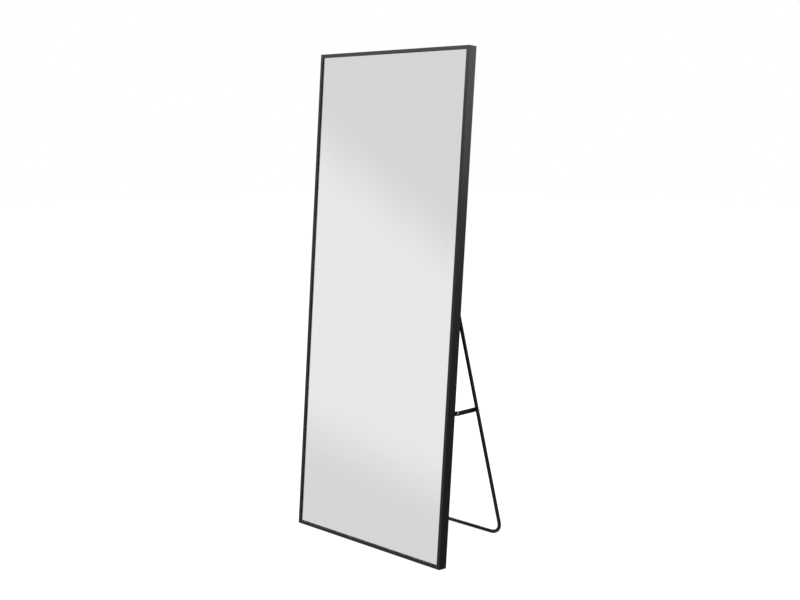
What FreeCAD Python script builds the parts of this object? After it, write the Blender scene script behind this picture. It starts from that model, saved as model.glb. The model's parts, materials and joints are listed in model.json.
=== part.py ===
import FreeCAD, Part
import os
import re
import Sketcher

# Leaning floor mirror. A mitred frame of thin extruded rails holds silvered glass in front
# and a back board behind. A leg bent from one tube into a U hinges on the back at mid
# height, and a stay of two flat links on each side stops it when it is open.
# X runs to the right of somebody who faces the glass, Y runs backwards and Z up.
# The floor is Z = 0, and the origin is the middle of the space that the mirror takes up.

sizes = {
    # the mirror as a whole
    "mirror_height": 1700.0,
    "mirror_width": 700.0,
    "frame_depth": 35.0,
    "lean_angle": 4.45,
    # section of a rail
    "lip_width": 12.0,
    "lip_thickness": 1.6,
    "rail_wall": 1.4,
    "rear_return": 3.0,
    "edge_break": 0.4,
    "key_space_width": 4.6,
    "key_space_depth": 12.0,
    "shelf_reach": 14.0,
    # glass and what holds it
    "glass_thickness": 4.0,
    "glass_edge_gap": 1.5,
    "glass_back_gap": 0.4,
    "strip_thickness": 0.6,
    "strip_width": 8.0,
    "strip_edge_gap": 1.0,
    "foam_width": 40.0,
    "foam_spacing": 130.0,
    "foam_end_gap": 60.0,
    # corner keys and their set screws
    "key_leg_length": 55.0,
    "key_gap": 0.15,
    "set_screw_diameter": 4.0,
    "set_screw_length": 5.0,
    "set_screw_distance": 35.0,
    "set_screw_proud": 0.5,
    # back board and its screws
    "board_thickness": 5.0,
    "board_edge_gap": 2.0,
    "board_screw_inset": 10.5,
    "board_screw_end_distance": 100.0,
    "board_screw_diameter": 3.5,
    "board_screw_length": 8.0,
    "board_screw_head_diameter": 7.0,
    "board_screw_head_height": 2.2,
    # machine screws of the brackets and hangers
    "screw_diameter": 4.0,
    "screw_head_diameter": 7.5,
    "screw_head_height": 2.4,
    "screw_tip": 1.0,
    "screw_gap": 0.05,
    # leg
    "tube_diameter": 12.7,
    "tube_wall": 1.2,
    "bend_radius": 48.0,
    "leg_inset": 80.0,
    "leg_standoff": 8.0,
    "leg_open_angle": 20.61,
    "leg_top": 12.0,
    "plug_cap": 1.5,
    "plug_depth": 6.0,
    # hinge
    "hinge_height": 1024.5,
    "bracket_thickness": 2.0,
    "hinge_plate_width": 50.0,
    "hinge_plate_height": 60.0,
    "hinge_screw_spread": 36.0,
    "hinge_screw_rise": 44.0,
    "ear_radius": 8.0,
    "ear_foot": 28.0,
    "ear_clip": 3.2,
    "bolt_diameter": 6.0,
    "bolt_head_diameter": 10.5,
    "bolt_head_height": 3.3,
    "bolt_socket": 4.0,
    "bolt_end": 1.0,
    "nut_flats": 10.0,
    "nut_height": 4.5,
    "nut_collar": 1.5,
    "nut_collar_diameter": 9.0,
    "washer_thickness": 1.0,
    "washer_diameter": 12.0,
    "backing_thickness": 3.0,
    "backing_margin": 2.0,
    # stay
    "stay_height": 482.0,
    "stay_drop": 563.1,
    "link_width": 16.0,
    "link_thickness": 2.5,
    "link_spacing": 1.6,
    "spacer_thickness": 3.6,
    "spacer_diameter": 14.0,
    "rivet_diameter": 5.0,
    "rivet_head_diameter": 9.0,
    "rivet_head_height": 1.2,
    "low_head_height": 0.9,
    "stay_plate_width": 32.0,
    "stay_plate_height": 46.0,
    "stay_screw_rise": 30.0,
    "stay_screw_inset": 12.0,
    "stop_pin_diameter": 4.0,
    "stop_pin_distance": 5.0,
    "stop_pin_margin": 1.0,
    # fits: a turning fit is radial, a side gap parts the faces of pieces that pass
    "turning_fit": 0.05,
    "side_gap": 0.3,
    # floor pads
    "pad_thickness": 1.5,
    "pad_length": 40.0,
    "pad_end_distance": 20.0,
    "pad_front": 13.0,
    "pad_rear_inset": 3.0,
    # keyhole plates for hanging the mirror on a wall
    "hanger_width": 14.0,
    "hanger_length": 56.0,
    "hanger_foot": 12.0,
    "hanger_thickness": 1.5,
    "hanger_lift": 3.5,
    "hanger_drop": 250.0,
    "keyhole_diameter": 9.0,
    "keyslot_width": 4.5,
    "keyslot_rise": 14.0,
}

side_screw_count = 6
end_screw_count = 3
cut_margin = 1.0
head_rounding = 0.6  # share of a screw's, plug's or rivet's head that is rounded
bolt_rounding = 0.7

# Distances inside the mirror are counted backwards from the front of the lip (the ones
# named front and back) and inwards from the outer face of a rail (the ones named inner).
layout_values = {
    "half_width": "mirror_width / 2",
    "half_height": "mirror_height / 2",
    "glass_front": "lip_thickness + strip_thickness",
    "glass_back": "glass_front + glass_thickness",
    "rib_front": "glass_back + glass_back_gap",
    "key_space_front": "rib_front + rail_wall",
    "key_space_back": "key_space_front + key_space_depth",
    "key_space_middle": "key_space_front + key_space_depth / 2",
    "key_space_inner": "rail_wall + key_space_width",
    "rib_inner": "key_space_inner + rail_wall",
    "shelf_back": "key_space_back + rail_wall",
    "board_back": "shelf_back + board_thickness",
    "return_front": "frame_depth - rail_wall",
    "backing_front": "shelf_back - backing_thickness",
    "bracket_back": "board_back + bracket_thickness",
    "glass_inner": "rail_wall + glass_edge_gap",
    "board_inner": "rail_wall + board_edge_gap",
    "strip_inner": "lip_width - strip_edge_gap - strip_width",
    "set_screw_inner": "rib_inner + set_screw_proud - set_screw_length",
    "set_screw_outer": "rib_inner + set_screw_proud",
    "screw_hole": "screw_diameter / 2 + screw_gap",
    "board_screw_hole": "board_screw_diameter / 2 + screw_gap",
    "set_screw_hole": "set_screw_diameter / 2 + screw_gap",
    # the leg's tube and where it turns
    "tube_radius": "tube_diameter / 2",
    "tube_bore": "tube_radius - tube_wall",
    "tube_x": "half_width - leg_inset",
    "pivot_back": "frame_depth + leg_standoff",
    "pivot_to_board": "pivot_back - board_back",
    "ear_inside": "tube_radius + side_gap + washer_thickness",
    "ear_outside": "ear_inside + bracket_thickness",
    "bolt_hole": "bolt_diameter / 2 + turning_fit",
    "rivet_hole": "rivet_diameter / 2 + turning_fit",
    "leg_tilt": "leg_open_angle - lean_angle",
    "pad_rear": "frame_depth - pad_rear_inset",
    "pad_front_thickness": "pad_thickness + (pad_rear - pad_front) * tan(lean_angle)",
    "base_z": "pad_rear * sin(lean_angle) + pad_thickness * cos(lean_angle)",
    "hinge_rise": "hinge_height * cos(lean_angle) - pivot_back * sin(lean_angle)",
    "hinge_reach": "hinge_height * sin(lean_angle) + pivot_back * cos(lean_angle)",
    "hinge_z": "base_z + hinge_rise",
    "leg_length": "(hinge_z - tube_radius) / cos(leg_tilt)",
    "rear_reach": "hinge_reach + leg_length * sin(leg_tilt) + tube_radius",
    "base_y": "-(rear_reach + edge_break * sin(lean_angle)) / 2",
    "hinge_y": "base_y + hinge_reach",
    # the stay, from its pivot on the mirror to its pivot on the leg
    "stay_start_y": "base_y + stay_height * sin(lean_angle) + pivot_back * cos(lean_angle)",
    "stay_start_z": "base_z + stay_height * cos(lean_angle) - pivot_back * sin(lean_angle)",
    "stay_end_y": "hinge_y + stay_drop * sin(leg_tilt)",
    "stay_end_z": "hinge_z - stay_drop * cos(leg_tilt)",
    "stay_run": "stay_end_y - stay_start_y",
    "stay_rise": "stay_end_z - stay_start_z",
    "stay_length": "sqrt(stay_run * stay_run + stay_rise * stay_rise)",
    "stay_angle": "asin(stay_rise / stay_length)",
    "stay_slope": "stay_angle + lean_angle",
    "folded_offset": "stay_height + stay_drop - hinge_height",
    "frame_link_length": "(stay_length + folded_offset) / 2",
    "leg_link_length": "(stay_length - folded_offset) / 2",
    "link_radius": "link_width / 2",
    # the stay's layers, as distances from the middle of the mirror
    "spacer_side": "tube_x - tube_radius - spacer_thickness",
    "leg_link_outside": "spacer_side - side_gap",
    "leg_link_inside": "leg_link_outside - link_thickness",
    "frame_link_outside": "leg_link_inside - link_spacing",
    "frame_link_inside": "frame_link_outside - link_thickness",
    "stay_ear_outside": "frame_link_inside - side_gap",
    "stay_ear_inside": "stay_ear_outside - bracket_thickness",
    "stay_plate_inside": "stay_ear_outside - stay_plate_width",
    "stay_screw_x": "stay_plate_inside + stay_screw_inset",
    "rivet_parting": "(leg_link_inside + frame_link_outside) / 2",
    "stop_pin_offset": "link_radius + side_gap + stop_pin_diameter / 2",
    "stop_pin_back": "stop_pin_distance * cos(stay_slope) - stop_pin_offset * sin(stay_slope)",
    "stop_pin_up": "stop_pin_distance * sin(stay_slope) + stop_pin_offset * cos(stay_slope)",
    "stop_ear_up": "stop_pin_up + stop_pin_diameter / 2 + stop_pin_margin",
    # hangers
    "hanger_height": "mirror_height - hanger_drop",
    "hanger_back": "board_back + hanger_lift + hanger_thickness",
    "hanger_screw_rise": "hanger_length - hanger_foot",
}

# The frames that pieces are placed in: on the leaning mirror, on the leg with its hinge
# line as origin, and along the open stay with its pivot on the mirror as origin.
layout_frames = {
    "mirror_frame": "placement(vector(0; base_y; base_z); rotation(vector(1; 0; 0); -lean_angle))",
    "leg_frame": "placement(vector(0; hinge_y; hinge_z); rotation(vector(1; 0; 0); leg_tilt))",
    "stay_frame": "placement(vector(0; stay_start_y; stay_start_z); rotation(vector(1; 0; 0); stay_angle))",
}

doc = FreeCAD.newDocument("leaning_mirror")
sheet = doc.addObject("Spreadsheet::Sheet", "Sizes")
layout = doc.addObject("App::VarSet", "Layout")
references = {}


def bound(text):
    return re.sub(r"[a-z_]+", lambda word: references.get(word.group(), word.group()), text)


def value(text):
    return float(layout.evalExpression(bound(text)))


for row, (name, size) in enumerate(sizes.items(), start=1):
    sheet.set("A%d" % row, name)
    sheet.set("B%d" % row, str(size))
    sheet.setAlias("B%d" % row, name)
    references[name] = "Sizes." + name
doc.recompute()

for kind, entries in (("App::PropertyFloat", layout_values), ("App::PropertyPlacement", layout_frames)):
    for name, expression in entries.items():
        layout.addProperty(kind, name, "Layout")
        layout.setExpression(name, bound(expression))
        references[name] = "Layout." + name
        doc.recompute()


# Outlines. Each takes the sketch and then its places and sizes as expressions.

def pin_point(sketch, geometry, point, x, y):
    for kind, text in (("DistanceX", x), ("DistanceY", y)):
        number = sketch.addConstraint(Sketcher.Constraint(kind, -1, 1, geometry, point, value(text)))
        sketch.setExpression("Constraints[%d]" % number, bound(text))


def set_radius(sketch, geometry, radius):
    number = sketch.addConstraint(Sketcher.Constraint("Radius", geometry, value(radius)))
    sketch.setExpression("Constraints[%d]" % number, bound(radius))


def spot(x, y):
    return FreeCAD.Vector(value(x), value(y), 0)


def polygon(sketch, points):
    first = sketch.GeometryCount
    count = len(points)
    for index in range(count):
        line = Part.LineSegment(spot(*points[index]), spot(*points[(index + 1) % count]))
        sketch.addGeometry(line, False)
    for index in range(count):
        following = first + (index + 1) % count
        sketch.addConstraint(Sketcher.Constraint("Coincident", first + index, 2, following, 1))
        pin_point(sketch, first + index, 1, *points[index])


def rectangle(sketch, left, right, low, high):
    polygon(sketch, [(left, low), (right, low), (right, high), (left, high)])


def circle(sketch, x, y, radius):
    number = sketch.addGeometry(Part.Circle(spot(x, y), FreeCAD.Vector(0, 0, 1), value(radius)), False)
    pin_point(sketch, number, 3, x, y)
    set_radius(sketch, number, radius)


def hexagon(sketch, x, y, across_flats):
    half = "(%s) / 2" % across_flats
    corner = "(%s) / sqrt(3)" % across_flats
    quarter = "(%s) / sqrt(12)" % across_flats
    polygon(sketch, [
        ("%s + %s" % (x, half), "%s - %s" % (y, quarter)),
        ("%s + %s" % (x, half), "%s + %s" % (y, quarter)),
        (x, "%s + %s" % (y, corner)),
        ("%s - %s" % (x, half), "%s + %s" % (y, quarter)),
        ("%s - %s" % (x, half), "%s - %s" % (y, quarter)),
        (x, "%s - %s" % (y, corner)),
    ])


def half_turn(sketch, x, y, radius, start_degrees):
    start = FreeCAD.Units.Quantity("%d deg" % start_degrees).getValueAs("rad").Value
    straight = FreeCAD.Units.Quantity("180 deg").getValueAs("rad").Value
    base = Part.Circle(spot(x, y), FreeCAD.Vector(0, 0, 1), value(radius))
    return sketch.addGeometry(Part.ArcOfCircle(base, start, start + straight), False)


def tangent_chain(sketch, first, count, closed):
    for index in range(count if closed else count - 1):
        following = first + (index + 1) % count
        sketch.addConstraint(Sketcher.Constraint("Tangent", first + index, 2, following, 1))


# A flat bar with full round ends, from one centre to the other along the sketch's x axis.
def round_bar(sketch, start_x, end_x, radius):
    first = half_turn(sketch, start_x, "0", radius, 90)
    low = "-(%s)" % radius
    sketch.addGeometry(Part.LineSegment(spot(start_x, low), spot(end_x, low)), False)
    last = half_turn(sketch, end_x, "0", radius, -90)
    sketch.addGeometry(Part.LineSegment(spot(end_x, radius), spot(start_x, radius)), False)
    tangent_chain(sketch, first, 4, closed=True)
    pin_point(sketch, first, 3, start_x, "0")
    pin_point(sketch, last, 3, end_x, "0")
    set_radius(sketch, first, radius)


# A tongue that rises from a straight foot to a round end about the origin.
def tongue(sketch, foot_x, foot_height, radius):
    half_foot = "(%s) / 2" % foot_height
    low = ("0", "-(%s)" % radius)
    high = ("0", radius)
    first = sketch.addGeometry(Part.LineSegment(spot(foot_x, "-" + half_foot), spot(*low)), False)
    arc = half_turn(sketch, "0", "0", radius, -90)
    last = sketch.addGeometry(Part.LineSegment(spot(*high), spot(foot_x, half_foot)), False)
    foot = sketch.addGeometry(Part.LineSegment(spot(foot_x, half_foot), spot(foot_x, "-" + half_foot)), False)
    for before, after in ((first, arc), (arc, last), (last, foot), (foot, first)):
        sketch.addConstraint(Sketcher.Constraint("Coincident", before, 2, after, 1))
    pin_point(sketch, first, 1, foot_x, "-" + half_foot)
    pin_point(sketch, last, 2, foot_x, half_foot)
    pin_point(sketch, arc, 3, "0", "0")
    set_radius(sketch, arc, radius)
    for end in (1, 2):
        sketch.addConstraint(Sketcher.Constraint("DistanceX", -1, 1, arc, end, 0.0))


# Features. A plane is named by its two axes, and every pad or cut starts at a distance
# along the third axis and runs in that axis's positive direction.

sub_parts = []


def new_body(label, frame, place="vector(0; 0; 0)", turn="0"):
    body = doc.addObject("PartDesign::Body", label)
    body.Label = label
    body.AllowCompound = True
    here = "placement(%s; rotation(vector(0; 1; 0); %s))" % (place, turn)
    body.setExpression("Placement", bound("%s * %s" % (frame, here)))
    sub_parts.append(body)
    return body


def new_sketch(body, plane, start, outlines):
    sketch = body.newObject("Sketcher::SketchObject", body.Label + "_outline")
    role = plane + "_Plane"
    origin_plane = [item for item in body.Origin.OriginFeatures if item.Role == role][0]
    sketch.AttachmentSupport = [(origin_plane, "")]
    sketch.MapMode = "FlatFace"
    along = "-(%s)" % start if plane == "XZ" else start
    sketch.setExpression("AttachmentOffset.Base.z", bound(along))
    for shape, *details in outlines:
        shape(sketch, *details)
    return sketch


def pad(body, plane, start, length, *outlines):
    feature = body.newObject("PartDesign::Pad", body.Label + "_pad")
    feature.Profile = new_sketch(body, plane, start, outlines)
    feature.Reversed = plane == "XZ"
    feature.setExpression("Length", bound(length))
    return feature


def cut(body, plane, start, length, *outlines):
    feature = body.newObject("PartDesign::Pocket", body.Label + "_cut")
    feature.Profile = new_sketch(body, plane, start, outlines)
    feature.Reversed = plane != "XZ"
    feature.setExpression("Length", bound(length))
    return feature


# A slab between two distances from the middle of the mirror, on one side of it.
def side_pad(body, side, inside, outside, *outlines):
    start = inside if side > 0 else "-(%s)" % outside
    return pad(body, "YZ", start, "(%s) - (%s)" % (outside, inside), *outlines)


def side_cut(body, side, inside, outside, *outlines):
    start = "(%s) - %s" % (inside, cut_margin) if side > 0 else "-(%s) - %s" % (outside, cut_margin)
    return cut(body, "YZ", start, "(%s) - (%s) + 2 * %s" % (outside, inside, cut_margin), *outlines)


def round_rims(body, feature, radius, belongs):
    doc.recompute()
    names = []
    for number, edge in enumerate(feature.Shape.Edges, start=1):
        if belongs(edge):
            names.append("Edge%d" % number)
    fillet = body.newObject("PartDesign::Fillet", body.Label + "_rounding")
    fillet.Base = (feature, names)
    fillet.setExpression("Radius", bound(radius))
    return fillet


def is_rim(axis, position, radius):
    def test(edge):
        if not isinstance(edge.Curve, Part.Circle):
            return False
        centre = getattr(edge.Curve.Center, axis)
        return abs(centre - value(position)) < 1e-4 and abs(edge.Curve.Radius - value(radius)) < 1e-4
    return test


def is_corner(axis):
    def test(edge):
        if not isinstance(edge.Curve, Part.Line):
            return False
        return abs(getattr(edge.Curve.Direction, axis)) > 0.999
    return test


def at_mirror(side, x, back, up):
    return "vector(%d * (%s); %s; %s)" % (side, x, back, up)


sides = (("left", -1), ("right", 1))


# Where the screws of the back board lie along a rail, counted from the rail's middle.
def spread_evenly(half_length, count):
    reach = "(%s - board_screw_end_distance)" % half_length
    return ["%s * %r" % (reach, 2 * index / (count - 1) - 1) for index in range(count)]


side_screw_places = spread_evenly("half_height", side_screw_count)
end_screw_places = ["half_width * %r" % (index / 2 - 0.5) for index in range(end_screw_count)]
hanger_screw_heights = [
    "hanger_height - hanger_screw_rise / 2",
    "hanger_height + hanger_screw_rise / 2",
]


def board_screw_spots():
    spots = []
    for side in (-1, 1):
        for place in side_screw_places:
            spots.append(("%d * (half_width - board_screw_inset)" % side, "half_height + " + place))
    for place in end_screw_places:
        spots.append((place, "board_screw_inset"))
        spots.append((place, "mirror_height - board_screw_inset"))
    return spots


def hinge_screw_spots(side):
    spots = []
    for across in (-0.5, 0.5):
        for up in (-0.5, 0.5):
            x = "%d * tube_x + %r * hinge_screw_spread" % (side, across)
            spots.append((x, "hinge_height + %r * hinge_screw_rise" % up))
    return spots


def stay_screw_spots(side):
    return [("%d * stay_screw_x" % side, "stay_height + %r * stay_screw_rise" % up) for up in (-0.5, 0.5)]


def hanger_screw_spots(side):
    return [("%d * (half_width - board_screw_inset)" % side, up) for up in hanger_screw_heights]


def circles(spots, radius):
    return [(circle, x, y, radius) for x, y in spots]


# The frame's rails. Each is drawn with its section inwards from the outer face and
# backwards from the lip, runs both ways along Z, and is then turned to its side.

def rail(label, half_length, place, turn, screw_places, hanger_places=()):
    body = new_body(label, "mirror_frame", place, turn)
    section = [
        ("edge_break", "0"),
        ("lip_width - edge_break", "0"),
        ("lip_width", "edge_break"),
        ("lip_width", "lip_thickness"),
        ("rail_wall", "lip_thickness"),
        ("rail_wall", "rib_front"),
        ("rib_inner", "rib_front"),
        ("rib_inner", "key_space_back"),
        ("shelf_reach", "key_space_back"),
        ("shelf_reach", "shelf_back"),
        ("rail_wall", "shelf_back"),
        ("rail_wall", "return_front"),
        ("rear_return", "return_front"),
        ("rear_return", "frame_depth"),
        ("edge_break", "frame_depth"),
        ("0", "frame_depth - edge_break"),
        ("0", "edge_break"),
    ]
    key_space = (rectangle, "rail_wall", "key_space_inner", "key_space_front", "key_space_back")
    pad(body, "XY", "-(%s)" % half_length, "2 * (%s)" % half_length, (polygon, section), key_space)
    mitres = []
    for end in (-1, 1):
        tip = "%d * (%s + %s)" % (end, half_length, cut_margin)
        root = "%d * (%s - shelf_reach - %s)" % (end, half_length, cut_margin)
        inner = "shelf_reach + %s" % cut_margin
        mitres.append((polygon, [("-%s" % cut_margin, tip), (inner, root), (inner, tip)]))
    cut(body, "XZ", "-%s" % cut_margin, "frame_depth + 2 * %s" % cut_margin, *mitres)
    holes = [(circle, "board_screw_inset", place, "board_screw_hole") for place in screw_places]
    holes += [(circle, "board_screw_inset", place, "screw_hole") for place in hanger_places]
    cut(body, "XZ", "key_space_back - %s" % cut_margin, "rail_wall + 2 * %s" % cut_margin, *holes)
    screw_ends = ["%d * (%s - set_screw_distance)" % (end, half_length) for end in (-1, 1)]
    grub_holes = [(circle, "key_space_middle", place, "set_screw_hole") for place in screw_ends]
    cut(body, "YZ", "key_space_inner - %s" % cut_margin, "rail_wall + 2 * %s" % cut_margin, *grub_holes)


left_hanger_places = ["%s - half_height" % up for up in hanger_screw_heights]
right_hanger_places = ["half_height - (%s)" % up for up in hanger_screw_heights]
rail("rail_left", "half_height", "vector(-half_width; 0; half_height)", "0",
     side_screw_places, left_hanger_places)
rail("rail_right", "half_height", "vector(half_width; 0; half_height)", "180",
     side_screw_places, right_hanger_places)
rail("rail_bottom", "half_width", "vector(0; 0; 0)", "-90", end_screw_places)
rail("rail_top", "half_width", "vector(0; 0; mirror_height)", "90", end_screw_places)


# Corner keys: flat L bars that slide into the key spaces of the two rails that meet.

def corner_key(label, place, turn):
    body = new_body(label, "mirror_frame", place, turn)
    near = "rail_wall + key_gap"
    far = "key_space_inner - key_gap"
    outline = [
        (near, near),
        ("key_leg_length", near),
        ("key_leg_length", far),
        (far, far),
        (far, "key_leg_length"),
        (near, "key_leg_length"),
    ]
    pad(body, "XZ", "key_space_front + key_gap", "key_space_depth - 2 * key_gap", (polygon, outline))
    start = "%s - %s" % (near, cut_margin)
    length = "key_space_width + 2 * %s" % cut_margin
    cut(body, "YZ", start, length, (circle, "key_space_middle", "set_screw_distance", "set_screw_hole"))
    cut(body, "XY", start, length, (circle, "set_screw_distance", "key_space_middle", "set_screw_hole"))


corner_key("corner_key_bottom_left", "vector(-half_width; 0; 0)", "0")
corner_key("corner_key_bottom_right", "vector(half_width; 0; 0)", "-90")
corner_key("corner_key_top_right", "vector(half_width; 0; mirror_height)", "180")
corner_key("corner_key_top_left", "vector(-half_width; 0; mirror_height)", "90")

set_screws = new_body("corner_set_screws", "mirror_frame")
set_screw_radius = "set_screw_diameter / 2"
for side in (-1, 1):
    heights = ("set_screw_distance", "mirror_height - set_screw_distance")
    side_pad(set_screws, side, "half_width - set_screw_outer", "half_width - set_screw_inner",
             *[(circle, "key_space_middle", up, set_screw_radius) for up in heights])
for start in ("set_screw_inner", "mirror_height - set_screw_outer"):
    places = ["%d * (half_width - set_screw_distance)" % side for side in (-1, 1)]
    pad(set_screws, "XY", start, "set_screw_length",
        *[(circle, x, "key_space_middle", set_screw_radius) for x in places])


# Glass, the strips in front of it, the foam behind it and the back board.

glazing = new_body("glazing_strips", "mirror_frame")
strip_outer = "strip_inner + strip_width"
strip_end = "%s + side_gap" % strip_outer
pad(glazing, "XZ", "lip_thickness", "strip_thickness",
    (rectangle, "-half_width + strip_inner", "-half_width + %s" % strip_outer,
     "strip_inner", "mirror_height - strip_inner"),
    (rectangle, "half_width - (%s)" % strip_outer, "half_width - strip_inner",
     "strip_inner", "mirror_height - strip_inner"),
    (rectangle, "-half_width + %s" % strip_end, "half_width - (%s)" % strip_end,
     "strip_inner", strip_outer),
    (rectangle, "-half_width + %s" % strip_end, "half_width - (%s)" % strip_end,
     "mirror_height - (%s)" % strip_outer, "mirror_height - strip_inner"))

glass = new_body("mirror_glass", "mirror_frame")
pad(glass, "XZ", "glass_front", "glass_thickness",
    (rectangle, "-half_width + glass_inner", "half_width - glass_inner",
     "glass_inner", "mirror_height - glass_inner"))

foam = new_body("foam_strips", "mirror_frame")
foam_outlines = []
for step in (-1, 0, 1):
    middle = "%d * foam_spacing" % step
    foam_outlines.append((rectangle, middle + " - foam_width / 2", middle + " + foam_width / 2",
                          "foam_end_gap", "mirror_height - foam_end_gap"))
pad(foam, "XZ", "glass_back", "shelf_back - glass_back", *foam_outlines)

board = new_body("back_board", "mirror_frame")
pad(board, "XZ", "shelf_back", "board_thickness",
    (rectangle, "-half_width + board_inner", "half_width - board_inner",
     "board_inner", "mirror_height - board_inner"))
board_holes = circles(board_screw_spots(), "board_screw_hole")
for side in (-1, 1):
    spots = hinge_screw_spots(side) + stay_screw_spots(side) + hanger_screw_spots(side)
    board_holes += circles(spots, "screw_hole")
cut(board, "XZ", "shelf_back - %s" % cut_margin, "board_thickness + 2 * %s" % cut_margin, *board_holes)


# Screws that run forwards from a face on the back. All of one kind are one node.

def screws(label, face, spots, diameter, length, head_diameter, head_height):
    body = new_body(label, "mirror_frame")
    pad(body, "XZ", "%s - (%s)" % (face, length), length, *circles(spots, diameter + " / 2"))
    head_radius = head_diameter + " / 2"
    head = pad(body, "XZ", face, head_height, *circles(spots, head_radius))
    return body, head


def rounded_screws(label, face, spots, diameter, length, head_diameter, head_height):
    body, head = screws(label, face, spots, diameter, length, head_diameter, head_height)
    top = "%s + %s" % (face, head_height)
    round_rims(body, head, "%s * %s" % (head_height, head_rounding), is_rim("y", top, head_diameter + " / 2"))


rounded_screws("back_board_screws", "board_back", board_screw_spots(), "board_screw_diameter",
               "board_screw_length", "board_screw_head_diameter", "board_screw_head_height")
machine_screw = ("screw_diameter", "bracket_back - backing_front + screw_tip",
                 "screw_head_diameter", "screw_head_height")
rounded_screws("hinge_bracket_screws", "bracket_back",
               hinge_screw_spots(-1) + hinge_screw_spots(1), *machine_screw)
rounded_screws("stay_bracket_screws", "bracket_back",
               stay_screw_spots(-1) + stay_screw_spots(1), *machine_screw)
hanger_face = "board_back + hanger_thickness"
rounded_screws("hanger_screws", hanger_face, hanger_screw_spots(-1) + hanger_screw_spots(1),
               "screw_diameter", "hanger_thickness + board_thickness + rail_wall + screw_tip",
               "screw_head_diameter", "screw_head_height")


# Pieces that are turned about an axis along X. The half section is given as distances
# along the axis, outwards from the mirror's middle, and radii.

def turned(label, frame, place, side, section):
    body = new_body(label, frame, place)
    feature = body.newObject("PartDesign::Revolution", label + "_turning")
    points = [("%d * (%s)" % (side, along), radius) for along, radius in section]
    feature.Profile = new_sketch(body, "XY", "0", [(polygon, points)])
    feature.ReferenceAxis = (feature.Profile[0], ["H_Axis"])
    feature.Angle = 360.0
    return body, feature


# A rivet or bolt body with a head at one end: from the shank's end to the head's top.
def headed(shank_end, head_start, head_end, shank_radius, head_radius):
    return [
        (shank_end, "0"),
        (head_end, "0"),
        (head_end, head_radius),
        (head_start, head_radius),
        (head_start, shank_radius),
        (shank_end, shank_radius),
    ]


for name, side in sides:
    hinge_place = at_mirror(side, "tube_x", "pivot_back", "hinge_height")

    # Clevis bracket: a plate on the back board with two ears for the hinge bolt.
    bracket = new_body("hinge_bracket_" + name, "mirror_frame", hinge_place)
    half_plate = "hinge_plate_width / 2"
    half_rise = "hinge_plate_height / 2"
    plate = pad(bracket, "XZ", "-pivot_to_board", "bracket_thickness",
                (rectangle, "-" + half_plate, half_plate, "-" + half_rise, half_rise))
    round_rims(bracket, plate, "ear_radius / 2", is_corner("y"))
    for start in ("ear_inside", "-ear_outside"):
        pad(bracket, "YZ", start, "bracket_thickness",
            (tongue, "-pivot_to_board", "ear_foot", "ear_radius"))
    bolt_circle = (circle, "0", "0", "bolt_hole")
    cut(bracket, "YZ", "-ear_outside - %s" % cut_margin, "2 * (ear_outside + %s)" % cut_margin, bolt_circle)
    plate_holes = []
    for across in (-0.5, 0.5):
        for up in (-0.5, 0.5):
            plate_holes.append((circle, "%r * hinge_screw_spread" % across,
                                "%r * hinge_screw_rise" % up, "screw_hole"))
    cut(bracket, "XZ", "-pivot_to_board - %s" % cut_margin,
        "bracket_thickness + 2 * %s" % cut_margin, *plate_holes)

    # Steel plate on the board's hidden face that the bracket's screws thread into.
    backing = new_body("hinge_backing_plate_" + name, "mirror_frame",
                       at_mirror(side, "tube_x", "backing_front", "hinge_height"))
    half_plate = "(hinge_plate_width / 2 - backing_margin)"
    half_rise = "(hinge_plate_height / 2 - backing_margin)"
    pad(backing, "XZ", "0", "backing_thickness",
        (rectangle, "-" + half_plate, half_plate, "-" + half_rise, half_rise))
    cut(backing, "XZ", "-%s" % cut_margin, "backing_thickness + 2 * %s" % cut_margin, *plate_holes)

    # Bolt with a button head outside, and a nut with a locking collar inside.
    bolt_head_end = "ear_outside + bolt_head_height"
    bolt_tail = "-(ear_outside + nut_height + nut_collar + bolt_end)"
    bolt, turning = turned("hinge_bolt_" + name, "mirror_frame", hinge_place, side,
                           headed(bolt_tail, "ear_outside", bolt_head_end,
                                  "bolt_diameter / 2", "bolt_head_diameter / 2"))
    round_rims(bolt, turning, "bolt_head_height * %s" % bolt_rounding,
               is_rim("x", "%d * (%s)" % (side, bolt_head_end), "bolt_head_diameter / 2"))
    socket_depth = "bolt_head_height / 2"
    socket_start = "(%s) - %s" % (bolt_head_end, socket_depth)
    side_cut_start = socket_start if side > 0 else "-(%s) - %s" % (bolt_head_end, cut_margin)
    cut(bolt, "YZ", side_cut_start, "%s + %s" % (socket_depth, cut_margin),
        (hexagon, "0", "0", "bolt_socket"))

    nut = new_body("hinge_nut_" + name, "mirror_frame", hinge_place)
    nut_near = "-(ear_outside + nut_height)" if side > 0 else "ear_outside"
    pad(nut, "YZ", nut_near, "nut_height", (hexagon, "0", "0", "nut_flats"))
    collar_near = "-(ear_outside + nut_height + nut_collar)" if side > 0 else "ear_outside + nut_height"
    pad(nut, "YZ", collar_near, "nut_collar", (circle, "0", "0", "nut_collar_diameter / 2"))
    cut(nut, "YZ", "-(ear_outside + nut_height + nut_collar + %s)" % cut_margin,
        "2 * (ear_outside + nut_height + nut_collar + %s)" % cut_margin, bolt_circle)

washers = new_body("hinge_washers", "mirror_frame", "vector(0; pivot_back; hinge_height)")
for side in (-1, 1):
    for start in ("-ear_inside", "ear_inside - washer_thickness"):
        pad(washers, "YZ", "%d * tube_x + %s" % (side, start), "washer_thickness",
            (circle, "0", "0", "washer_diameter / 2"), (circle, "0", "0", "bolt_hole"))


# The leg: one tube bent into a U, its feet together forming the bar on the floor.

leg = new_body("leg_tube", "leg_frame")
tube_outline = new_sketch(leg, "XY", "leg_top",
                          [(circle, "-tube_x", "0", "tube_radius"), (circle, "-tube_x", "0", "tube_bore")])


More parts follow.
